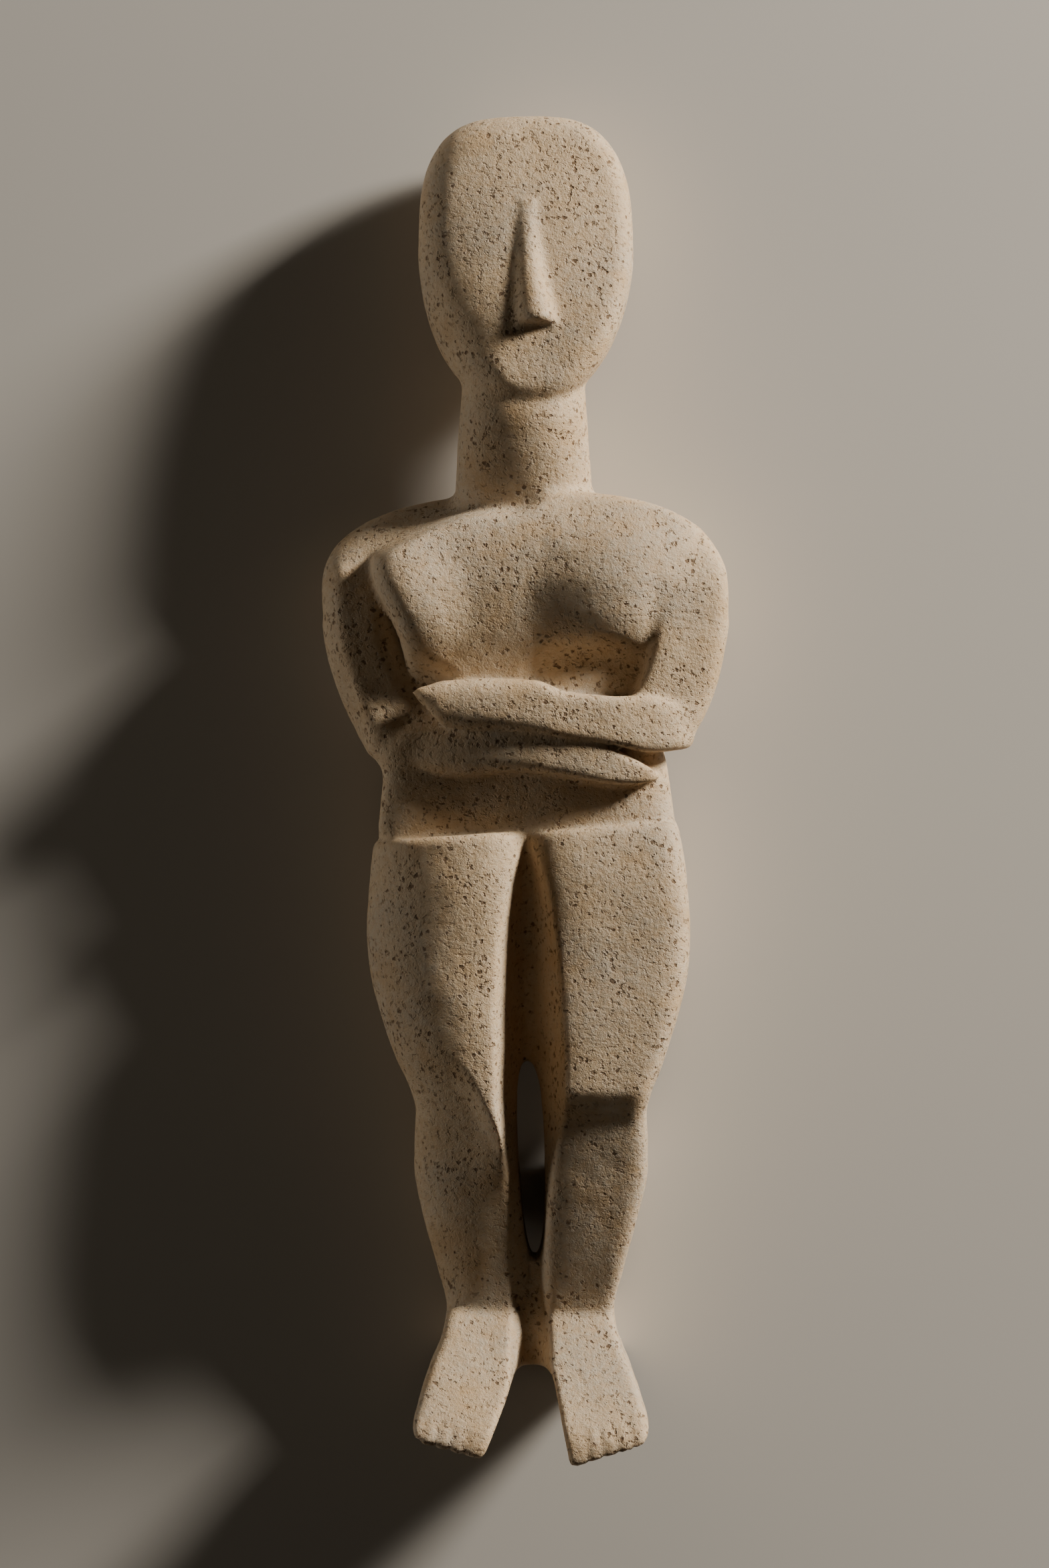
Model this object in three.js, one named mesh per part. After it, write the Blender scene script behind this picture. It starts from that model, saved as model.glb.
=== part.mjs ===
// Folded-arm marble figure, lying on its back. Millimetres, +Z up.
// The carver's sizes are written for a figure that stands: u across (its left arm is at +u), h up from the
// toes, d forward from the plane it lies on. The mesh maps u to +X, h to +Y and d to +Z.
import * as THREE from "three";

// ---------------------------------------------------------------- driving sizes
const SPAN = { u: 66, lowest: -4, highest: 404, front: 62 }; // region that the surface is looked for in
const CELL = 2; // edge of a sampling cell
const TRIANGLES = 9300; // facets left after thinning the flat areas

// A curve is a few [h, size] stations joined smoothly, from the toes upwards.
const LEAN = [[0, 1.35], [60, 1.4], [100, 1.3], [160, 0.3], [205, 0.1], [250, -0.5], [310, -0.9], [360, -0.2],
  [400, -0.6]];

const HEAD = {
  widestAt: 360, halfWidth: 32.4, crownRise: 39.6, chinDrop: 49.6, crownPower: 2.85, chinPower: 2.05,
  rim: 11, rimPower: 2.5, leftRim: -2.5, leftPower: 1.1, leftCheek: 1.6, cheekFrom: 4, napeRound: 120,
  face: [[308, 47.6], [322, 46.6], [334, 45.4], [344, 43.6], [354, 41.4], [388, 33.2], [400, 29.4]],
  rightCheek: [[312, 0.05], [325, 0.05], [335, 0.036], [345, 0.024], [355, 0.016], [370, 0.011], [385, 0.008]],
  nape: [[306, 20], [318, 13], [335, 5], [352, 0.5], [370, -1.2], [386, 1], [400, 8]],
};
const NOSE = {
  top: 370, base: 335.5, offset: 0.7, drift: 3.8, right: 2.2, rightGain: 4.8, left: 2.2, leftGain: 3.2,
  rise: 0.8, riseGain: 4.4, sunk: 1.5, power: 1.9, undercut: 0.25,
};
const NECK = {
  back: 8.5, middle: 297, reach: 31, power: 2.2,
  halfWidth: [[280, 20.6], [300, 19.5], [318, 18.4], [340, 18]],
  front: [[276, 34], [284, 37.5], [292, 40.5], [300, 43], [310, 45], [330, 45]],
};
const CHEST = {
  depthAt: 24, rightPower: 7, leftPower: 5.5, top: 289, bottom: 176,
  edgeHeight: 46, edgeFrom: 8.2, edgeGain: 6.5,
  bellyTilt: 5,
  rightHalf: [[186, 44.6], [196, 43.4], [205, 42.2], [218, 36], [230, 35], [240, 37], [246, 39], [250, 41],
    [258, 44.5], [268, 46], [276, 44], [290, 36]],
  leftHalf: [[186, 44.6], [196, 43.4], [205, 42.2], [218, 39], [226, 39.5], [232, 40.8], [240, 42.4], [248, 43.4],
    [256, 45], [262, 49], [270, 53], [280, 52], [290, 50]],
  front: [[160, 34], [178, 41], [186, 41.6], [192, 42.2], [200, 42.6], [212, 41], [228, 41.5], [236, 42.8],
    [244, 44.9], [252, 46.2], [260, 47], [266, 46.8], [271, 46], [275, 44.8], [280, 42.6], [284, 39.5], [288, 34]],
  back: [[160, 3], [180, 4], [205, 5], [225, 1.5], [250, -1.5], [266, 1], [280, 8], [290, 14]],
};
// Low breasts, and below them the hollows that the forearms lie against.
const SWELLS = [
  { across: -44, at: 251, rise: 6.8, halfWidth: 30, above: 34, below: 26 },
  { across: 29, at: 251, rise: 5, halfWidth: 30, above: 34, below: 23 },
  { across: -34, at: 225, rise: -7, halfWidth: 18, above: 13, below: 14 },
  { across: 20, at: 231, rise: -6.5, halfWidth: 24, above: 13, below: 14 },
];
const ARM = {
  at: 256, halfWidth: 61.4, shoulderRise: 30, shoulderPower: 2.45, elbowDrop: 73, elbowPower: 2.05,
  power: 3, leftPower: 3.5, rightElbow: 208.6, leftElbow: 212.6, lean: 0.2,
  radius: [[206, 11.5], [255, 11.5], [270, 12], [286, 12]],
  rightTop: [[206, 33], [225, 34], [240, 36], [256, 36], [265, 33.5], [273, 29.5], [290, 26]],
  leftTop: [[206, 44], [225, 45], [256, 45.5], [264, 44.6], [270, 43], [276, 40.5], [282, 37], [290, 32]],
  bottom: [[206, 13], [230, 8.5], [250, 4.5], [262, 6.5], [275, 9.5], [290, 12]],
};
// Stone left standing between the arms and the body.
const WEB = { inset: 8, round: 5, top: 35.5, leftGain: 4.5, shoulderDrop: 10, leftDrop: -6, bottom: 212 };
// A forearm is stations across the body: [u, height, depth, half height, half depth].
const LEFT_FOREARM = {
  from: -34.5, to: 50,
  stations: [[-34, 226, 43.5, 0.8, 3], [-30, 224.6, 44, 3.2, 4.5], [-24, 222.6, 44, 6.8, 6],
    [-10, 222, 44.4, 8, 7], [4, 221.3, 44.6, 8, 7], [12, 219, 44.4, 7.3, 6.7], [24, 217.6, 43.8, 7.4, 6.4],
    [36, 216.6, 42.4, 8.6, 6.4], [44, 216.2, 38.8, 7.5, 7.5], [50, 216, 34, 7, 8]],
};
const RIGHT_FOREARM = {
  from: -47, to: 40,
  stations: [[-47, 212, 25, 5, 9], [-36, 209, 31, 6, 7], [-28, 208.8, 35, 7, 6], [-16, 209.4, 39, 7.7, 6],
    [-4, 209.9, 41.6, 7.95, 6], [8, 209, 42.6, 7.7, 6], [18, 206.4, 42.8, 6.8, 6], [28, 203.4, 42.8, 5, 5.4],
    [35, 201.8, 42.8, 3, 4.6], [40, 200.8, 42.8, 0.9, 3.6]],
};
const LEG = {
  top: 184.8, topSlope: 0.06, bottom: 22, rightInner: 2.6, rightOuter: 2, leftInner: 3.4, leftOuter: 7,
  outer: [[26, 26.3], [33, 25.4], [39, 25], [53, 27.8], [69, 32.1], [84.5, 34.9], [93, 34.7], [101, 34.3],
    [106, 35.4], [116, 39.5], [132, 44.8], [145, 47.7], [156, 48.4], [172, 47.3], [190, 44.6]],
  rightCrest: [[30, 12], [60, 9], [90, 10], [110, 15], [150, 15.5], [188, 16]],
  leftCrest: [[30, 15], [60, 19], [90, 22], [120, 25], [150, 26], [188, 24]],
  front: [[26, 27], [36, 27.5], [44, 29.5], [57, 34], [75, 39], [90, 42.5], [98, 44.6], [103, 47.6],
    [109, 50.2], [125, 50.2], [150, 49], [168, 48.5], [180, 47], [188, 45]],
  rightLower: [[20, 0], [40, -1.5], [57, -4], [75, -4.5], [90, -3.5], [100, -1], [110, 0]],
  back: [[20, 0], [30, 3], [40, 6], [50, 5], [65, 1], [80, -1], [94, 4], [103, 7.5], [115, 5], [135, 1],
    [158, -1.5], [175, 0], [190, 4]],
  rightKneeDrop: [[9, -12], [13, -5], [18, 5], [24, 10], [34, 11]], // [distance from the cleft, drop of the knee]
};
const CLEFT = {
  floorHalf: 1.2,
  edge: [[20, 6.6], [30, 6], [45, 5.4], [57, 5.2], [70, 5.8], [85, 7], [96, 9], [108, 10.4], [145, 9.3],
    [169, 6.3], [180, 2.6], [187, 0.4]],
  floor: [[20, 22], [40, 23.5], [57, 27], [80, 28], [115, 29], [145, 31], [165, 34], [178, 39], [186, 46]],
  backEdge: [[20, 6], [60, 5.5], [120, 5.5], [150, 4], [170, 1]],
  backFloor: [[20, 9], [57, 9], [90, 8], [120, 10], [150, 6], [172, 0]],
};
const SLOT = { at: 86.3, halfWidth: 3.9, halfLength: 29.6, power: 2.5, widen: 0.12, lean: 0.035, offset: 0.3 };
const FOOT = {
  crest: 16, inner: 20, instepDepth: 29, instepSlope: 0.7, ankle: 40, tip: 53, top: 42,
  soleDepth: 50, soleSlope: 0.47,
  right: { edge: 1.2, from: 15.5, splay: 0.24 }, left: { edge: -1.2, from: 13.3, splay: 0.29 },
  outer: [[2, 34.6], [8, 35.4], [17, 33], [25, 30], [33, 26.6], [40, 24.9]],
};
const ARCH = { top: 24.3, flare: 21, right: -5.6, rightSplay: 0.43, left: 7.2, leftSplay: 0.207 };

// ---------------------------------------------------------------- shaping functions
const clamp = (v, lo, hi) => Math.min(Math.max(v, lo), hi);

// Smooth step from 0 at lo to 1 at hi.
function ramp(lo, hi, v) {
  const t = clamp((v - lo) / (hi - lo), 0, 1);
  return t * t * (3 - 2 * t);
}

// Joins two shapes, or keeps what is in both, with a fillet of about k.
function join(a, b, k) {
  const m = Math.max(k - Math.abs(a - b), 0) / k;
  return Math.min(a, b) - (m * m * k) / 4;
}
const keep = (a, b, k) => -join(-a, -b, k);

// Returns a function that runs smoothly through the stations, with no overshoot.
function through(stations) {
  const n = stations.length;
  const xs = stations.map((s) => s[0]);
  const vs = stations.map((s) => s[1]);
  const step = xs.slice(1).map((x, i) => x - xs[i]);
  const rate = step.map((s, i) => (vs[i + 1] - vs[i]) / s);
  const tangent = xs.map((_, i) => {
    if (i === 0) return rate[0];
    if (i === n - 1) return rate[n - 2];
    if (rate[i - 1] * rate[i] <= 0) return 0;
    const a = 2 * step[i] + step[i - 1];
    const b = step[i] + 2 * step[i - 1];
    return (a + b) / (a / rate[i - 1] + b / rate[i]);
  });
  return (at) => {
    const v = clamp(at, xs[0], xs[n - 1]);
    let i = 0;
    while (i < n - 2 && v > xs[i + 1]) i++;
    const s = step[i];
    const t = (v - xs[i]) / s;
    const r = 1 - t;
    return (1 + 2 * t) * r * r * vs[i] + t * r * r * s * tangent[i] +
      t * t * (3 - 2 * t) * vs[i + 1] - t * t * r * s * tangent[i + 1];
  };
}

// Distance, near enough, to the rounded box |p/a|^n + |q/b|^n = 1.
function oval(p, q, a, b, n) {
  const pa = Math.abs(p) / a + 1e-4;
  const qb = Math.abs(q) / b + 1e-4;
  const s = pa ** n + qb ** n;
  const slope = Math.hypot(pa ** (n - 1) / a, qb ** (n - 1) / b) * s ** (1 / n - 1);
  return (s ** (1 / n) - 1) / slope;
}

// ---------------------------------------------------------------- curves, made once
const lean = through(LEAN);
const curve = {
  nape: through(HEAD.nape), face: through(HEAD.face), cheek: through(HEAD.rightCheek),
  neck: through(NECK.halfWidth), throat: through(NECK.front),
  chestRight: through(CHEST.rightHalf), chestLeft: through(CHEST.leftHalf),
  chestFront: through(CHEST.front), chestBack: through(CHEST.back),
  armRadius: through(ARM.radius), armRight: through(ARM.rightTop), armLeft: through(ARM.leftTop),
  armBottom: through(ARM.bottom),
  legOuter: through(LEG.outer), rightCrest: through(LEG.rightCrest), leftCrest: through(LEG.leftCrest),
  legFront: through(LEG.front), rightLower: through(LEG.rightLower),
  legBack: through(LEG.back), kneeDrop: through(LEG.rightKneeDrop),
  edge: through(CLEFT.edge), floor: through(CLEFT.floor),
  backEdge: through(CLEFT.backEdge), backFloor: through(CLEFT.backFloor), footOuter: through(FOOT.outer),
};
const forearmCurves = ({ from, to, stations }) => ({
  from, to, lines: [1, 2, 3, 4].map((c) => through(stations.map((s) => [s[0], s[c]]))),
});
const leftForearm = forearmCurves(LEFT_FOREARM);
const rightForearm = forearmCurves(RIGHT_FOREARM);

// 0 on the figure's right side, 1 on its left, with a smooth change between them.
const leftShare = (u) => ramp(-12, 12, u);

// ---------------------------------------------------------------- the figure's members
function head(u, h, d) {
  const outline = h > HEAD.widestAt
    ? oval(u, h - HEAD.widestAt, HEAD.halfWidth, HEAD.crownRise, HEAD.crownPower)
    : oval(u, h - HEAD.widestAt, HEAD.halfWidth, HEAD.chinDrop, HEAD.chinPower);
  const plane = curve.face(h);
  const turned = 0.5 * curve.cheek(h) * Math.max(-u - HEAD.cheekFrom, 0) ** 2;
  const front = plane - turned - HEAD.leftCheek * (Math.max(u, 0) / HEAD.halfWidth) ** 3;
  const nape = curve.nape(h) + (u * u) / HEAD.napeRound;
  const half = Math.max((front - nape) / 2, 4);
  const left = leftShare(u);
  const rim = HEAD.rim + HEAD.leftRim * left;
  const power = HEAD.rimPower + HEAD.leftPower * left;
  const shield = oval(Math.max(outline + rim, 0), d - (front + nape) / 2, rim, half, power);
  return join(shield, nose(u, h, d - plane), 2);
}

function nose(u, h, out) {
  const down = clamp((NOSE.top - h) / (NOSE.top - NOSE.base), 0, 1);
  const side = u - NOSE.offset - NOSE.drift * down * down;
  const width = side < 0 ? NOSE.right + NOSE.rightGain * down : NOSE.left + NOSE.leftGain * down;
  const rise = NOSE.rise + NOSE.riseGain * down;
  let wedge = oval(side, out + NOSE.sunk, width, rise + NOSE.sunk, NOSE.power);
  wedge = keep(wedge, NOSE.base - h + NOSE.undercut * (out - 4), 2);
  return keep(wedge, h - NOSE.top - 2, 1);
}

function neck(u, h, d) {
  const front = curve.throat(h);
  const column = oval(u, d - (front + NECK.back) / 2, curve.neck(h), (front - NECK.back) / 2, NECK.power);
  return keep(column, Math.abs(h - NECK.middle) - NECK.reach, 4);
}

function swell(u, h, { across, at, rise, halfWidth, above, below }) {
  const reach = ((u - across) / halfWidth) ** 2 + ((h - at) / (h < at ? below : above)) ** 2;
  return rise * Math.max(1 - reach, 0) ** 2;
}

// The chest stands above the right shoulder with an edge, and slopes gently to the left one.
function trunk(u, h, d, outline) {
  let front = curve.chestFront(h);
  for (const each of SWELLS) front += swell(u, h, each);
  front -= CHEST.bellyTilt * (1 - ramp(-22, 18, u)) * (1 - ramp(203, 216, h));
  const half = d > CHEST.depthAt ? front - CHEST.depthAt : CHEST.depthAt - curve.chestBack(h);
  const halfWidth = u < 0 ? curve.chestRight(h) : curve.chestLeft(h);
  let core = oval(u, d - CHEST.depthAt, halfWidth, half, u < 0 ? CHEST.rightPower : CHEST.leftPower);
  const spare = 25 * (ramp(-4, 34, u) + 1 - ramp(236, 246, h));
  const edge = outline + CHEST.edgeFrom + CHEST.edgeGain * (1 - ramp(-44, -10, u));
  core = keep(core, (d - CHEST.edgeHeight) * 0.24 + edge * 0.97 - spare, 2.5);
  return keep(keep(core, h - CHEST.top, 6), CHEST.bottom - h, 4);
}

// Distance to the outline of shoulders and arms.
function armOutline(u, h) {
  return h > ARM.at
    ? oval(u, h - ARM.at, ARM.halfWidth, ARM.shoulderRise, ARM.shoulderPower)
    : oval(u, h - ARM.at, ARM.halfWidth, ARM.elbowDrop, ARM.elbowPower);
}

function arms(u, h, d, outline) {
  const r = curve.armRadius(h);
  const left = leftShare(u);
  const inward = -clamp(outline, -2 * r, 0) - r;
  const front = curve.armRight(h) * (1 - left) + curve.armLeft(h) * left;
  const bottom = curve.armBottom(h);
  const middle = (front + bottom) / 2 + ARM.lean * inward;
  let band = oval(outline + r, d - middle, r, (front - bottom) / 2, ARM.power + ARM.leftPower * left);
  band = keep(band, (u < 0 ? ARM.rightElbow : ARM.leftElbow) - h, 6);
  const top = WEB.top + WEB.leftGain * left - (WEB.shoulderDrop + WEB.leftDrop * left) * ramp(260, 272, h);
  const web = oval(Math.max(outline + WEB.inset, 0), d - top / 2, WEB.round, top / 2, 3);
  return join(band, keep(web, WEB.bottom - h, 6), 2);
}

function forearm(u, h, d, arm) {
  const [height, depth, halfHeight, halfDepth] = arm.lines.map((line) => line(u));
  const square = 2.6 + 2.6 * ramp(-12, 16, u);
  return keep(oval(h - height, d - depth, halfHeight, halfDepth, square), Math.max(arm.from - u, u - arm.to), 4);
}

// Both legs and feet in one mass, parted by the cleft, the slot between the calves and the arch.
function legs(u, h, d) {
  const a = Math.abs(u);
  const drop = u < 0 ? curve.kneeDrop(a) * ramp(70, 95, h) * (1 - ramp(125, 150, h)) : 0;
  const front = curve.legFront(h - drop) + (u < 0 ? curve.rightLower(h) : 0);
  const back = curve.legBack(h);
  const crest = u < 0 ? curve.rightCrest(h) : curve.leftCrest(h);
  const inside = a < crest;
  const [innerPower, outerPower] = u < 0 ? [LEG.rightInner, LEG.rightOuter] : [LEG.leftInner, LEG.leftOuter];
  let leg = oval(a - crest, d - (front + back) / 2, inside ? crest + 1.5 : curve.legOuter(h) - crest,
    (front - back) / 2, inside ? innerPower : outerPower);
  leg = keep(leg, h - LEG.top - LEG.topSlope * u, 2.5);
  leg = keep(leg, LEG.bottom - h, 3);
  const backEdge = curve.backEdge(h);
  const backFloor = curve.backFloor(h);
  const behind = clamp((backFloor - d) / (backFloor + 0.1), 0, 1.2);
  leg = keep(leg, -Math.max((a - 1 - (backEdge - 1) * behind) * 0.9, d - backFloor), 2);
  const slotHalf = SLOT.halfWidth * (1 + (SLOT.widen * (h - SLOT.at)) / SLOT.halfLength);
  const slotAt = SLOT.offset - SLOT.lean * (h - SLOT.at);
  leg = keep(leg, -oval(u - slotAt, h - SLOT.at, slotHalf, SLOT.halfLength, SLOT.power), 1);
  const instep = FOOT.instepDepth + (FOOT.ankle - h) * FOOT.instepSlope;
  leg = join(leg, foot(u, h, d, a, instep), 2);
  const floor = curve.floor(h);
  const brow = Math.max(front, h < FOOT.top ? instep : 0) - 1;
  const rise = clamp((d - floor) / Math.max(brow - floor, 2), 0, 1.2);
  const wall = CLEFT.floorHalf + (curve.edge(h) - CLEFT.floorHalf) * rise ** 0.7;
  return keep(leg, -Math.max((a - wall) * 0.9, floor - d, 18 - h), 1);
}

function foot(u, h, d, a, instep) {
  const toes = u < 0 ? FOOT.right : FOOT.left;
  const half = a < FOOT.crest ? FOOT.inner : curve.footOuter(h) - FOOT.crest;
  let solid = oval(a - FOOT.crest, d - 20, half, 60, 3.5);
  solid = keep(solid, (d - instep) * 0.82, 3);
  const toeLine = toes.edge + (a - toes.from) * toes.splay;
  solid = keep(solid, (toeLine - h + (FOOT.soleDepth - d) * FOOT.soleSlope) * 0.905, 2.5);
  return keep(keep(solid, d - FOOT.tip, 2.5), h - FOOT.top, 4);
}

function arch(u, h) {
  const spread = Math.max(ARCH.flare - h, 0);
  const right = ARCH.right - ARCH.rightSplay * spread;
  const left = ARCH.left + ARCH.leftSplay * spread;
  return keep(Math.max(right - u, u - left), h - ARCH.top, 5);
}

// Negative inside the stone. The plane d = 0 trims flat resting spots on the back.
function figure(across, h, d) {
  const u = across - lean(h);
  const outline = armOutline(u, h);
  const fillet = 1.5 + 1.5 * leftShare(u) + 3 * (1 - ramp(16, 24, d)) + 4 * ramp(262, 276, h);
  let body = join(trunk(u, h, d, outline), arms(u, h, d, outline), fillet);
  body = keep(body, outline - 30 * (1 - ramp(225, 250, h)), 2);
  body = join(body, neck(u, h, d), 4);
  body = join(body, head(u, h, d), 1.5);
  const crook = 1.2 + 5 * ramp(30, 42, -u) + 2 * ramp(42, 50, u);
  body = join(body, forearm(u, h, d, rightForearm), crook);
  body = join(body, forearm(u, h, d, leftForearm), crook);
  body = join(body, legs(u, h, d), 1.2);
  body = keep(body, -arch(u, h), 1.5);
  return Math.max(body, -d);
}

// ---------------------------------------------------------------- surface of the field
// One vertex in each cell that the surface passes through, and one quad across each edge that it cuts.
function surface(field) {
  const nx = Math.ceil((2 * SPAN.u) / CELL) + 1;
  const ny = Math.ceil((SPAN.highest - SPAN.lowest) / CELL) + 1;
  const nz = Math.ceil((SPAN.front + 3) / CELL) + 1;
  const px = (i) => -SPAN.u + i * CELL;
  const py = (j) => SPAN.lowest + j * CELL;
  const pz = (k) => -3 + k * CELL;
  const at = (i, j, k) => (i * ny + j) * nz + k;
  const value = new Float64Array(nx * ny * nz);
  for (let i = 0; i < nx; i++)
    for (let j = 0; j < ny; j++) for (let k = 0; k < nz; k++) value[at(i, j, k)] = field(px(i), py(j), pz(k));
  untangle(value, [nx, ny, nz], [ny * nz, nz, 1]);
  const cell = new Int32Array(nx * ny * nz).fill(-1);
  const points = [];
  for (let i = 0; i < nx - 1; i++)
    for (let j = 0; j < ny - 1; j++)
      for (let k = 0; k < nz - 1; k++) {
        const sum = [0, 0, 0];
        let cuts = 0;
        for (let axis = 0; axis < 3; axis++)
          for (let c = 0; c < 4; c++) {
            const o = [0, 0, 0];
            o[(axis + 1) % 3] = c & 1;
            o[(axis + 2) % 3] = c >> 1;
            const a = value[at(i + o[0], j + o[1], k + o[2])];
            const e = [...o];
            e[axis] = 1;
            const b = value[at(i + e[0], j + e[1], k + e[2])];
            if (a < 0 === b < 0) continue;
            o[axis] = a / (a - b);
            for (let m = 0; m < 3; m++) sum[m] += o[m];
            cuts++;
          }
        if (!cuts) continue;
        cell[at(i, j, k)] = points.length;
        const start = [px(i), py(j), pz(k)].map((v, m) => v + (CELL * sum[m]) / cuts);
        points.push(settle(field, start));
      }
  const faces = [];
  const step = [ny * nz, nz, 1];
  for (let i = 1; i < nx - 1; i++)
    for (let j = 1; j < ny - 1; j++)
      for (let k = 1; k < nz - 1; k++)
        for (let axis = 0; axis < 3; axis++) {
          const here = at(i, j, k);
          const inside = value[here] < 0;
          if (inside === value[here + step[axis]] < 0) continue;
          const s = step[(axis + 1) % 3];
          const t = step[(axis + 2) % 3];
          const quad = [cell[here - s - t], cell[here - t], cell[here], cell[here - s]];
          if (!inside) quad.reverse();
          const gap = (a, b) => points[a].reduce((total, v, m) => total + (v - points[b][m]) ** 2, 0);
          const [a, b, c, e] = quad;
          if (gap(a, c) <= gap(b, e)) faces.push([a, b, c], [a, c, e]);
          else faces.push([a, b, e], [b, c, e]);
        }
  return { points, faces };
}

// Where stone and air meet corner to corner, the weaker corner changes sides, so no edge serves two sheets.
function untangle(value, size, step) {
  const weaker = (a, b) => (Math.abs(value[a]) < Math.abs(value[b]) ? a : b);
  const corner = (c) => (c & 1) * step[0] + ((c >> 1) & 1) * step[1] + (c >> 2) * step[2];
  const inside = (a) => value[a] < 0;
  for (let pass = 0, changes = 1; changes && pass < 12; pass++) {
    changes = 0;
    const flip = (a) => {
      value[a] = -value[a];
      changes++;
    };
    for (let i = 0; i < size[0] - 1; i++)
      for (let j = 0; j < size[1] - 1; j++)
        for (let k = 0; k < size[2] - 1; k++) {
          const here = i * step[0] + j * step[1] + k;
          for (let axis = 0; axis < 3; axis++) {
            const s = step[(axis + 1) % 3];
            const t = step[(axis + 2) % 3];
            const [p, q, r, w] = [here, here + s, here + t, here + s + t];
            if (inside(p) !== inside(w) || inside(q) !== inside(r) || inside(p) === inside(q)) continue;
            flip(weaker(weaker(p, w), weaker(q, r)));
          }
          let mask = 0;
          for (let c = 0; c < 8; c++) if (inside(here + corner(c))) mask |= 1 << c;
          for (let c = 0; c < 4; c++) {
            const ends = (1 << c) | (1 << (7 - c));
            if (mask === ends || mask === 255 - ends) flip(weaker(here + corner(c), here + corner(7 - c)));
          }
        }
  }
}

// Moves a point onto the surface, by less than half a cell.
function settle(field, point) {
  const p = [...point];
  for (let turn = 0; turn < 2; turn++) {
    const v = field(...p);
    const g = [0, 1, 2].map((m) => {
      const q = [...p];
      q[m] += 0.05;
      return (field(...q) - v) / 0.05;
    });
    const size = g[0] ** 2 + g[1] ** 2 + g[2] ** 2;
    if (size < 0.04) break;
    for (let m = 0; m < 3; m++) p[m] = clamp(p[m] - (v * g[m]) / size, point[m] - CELL / 3, point[m] + CELL / 3);
  }
  if (Math.abs(p[2]) < 0.15) p[2] = 0;
  return p;
}

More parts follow.
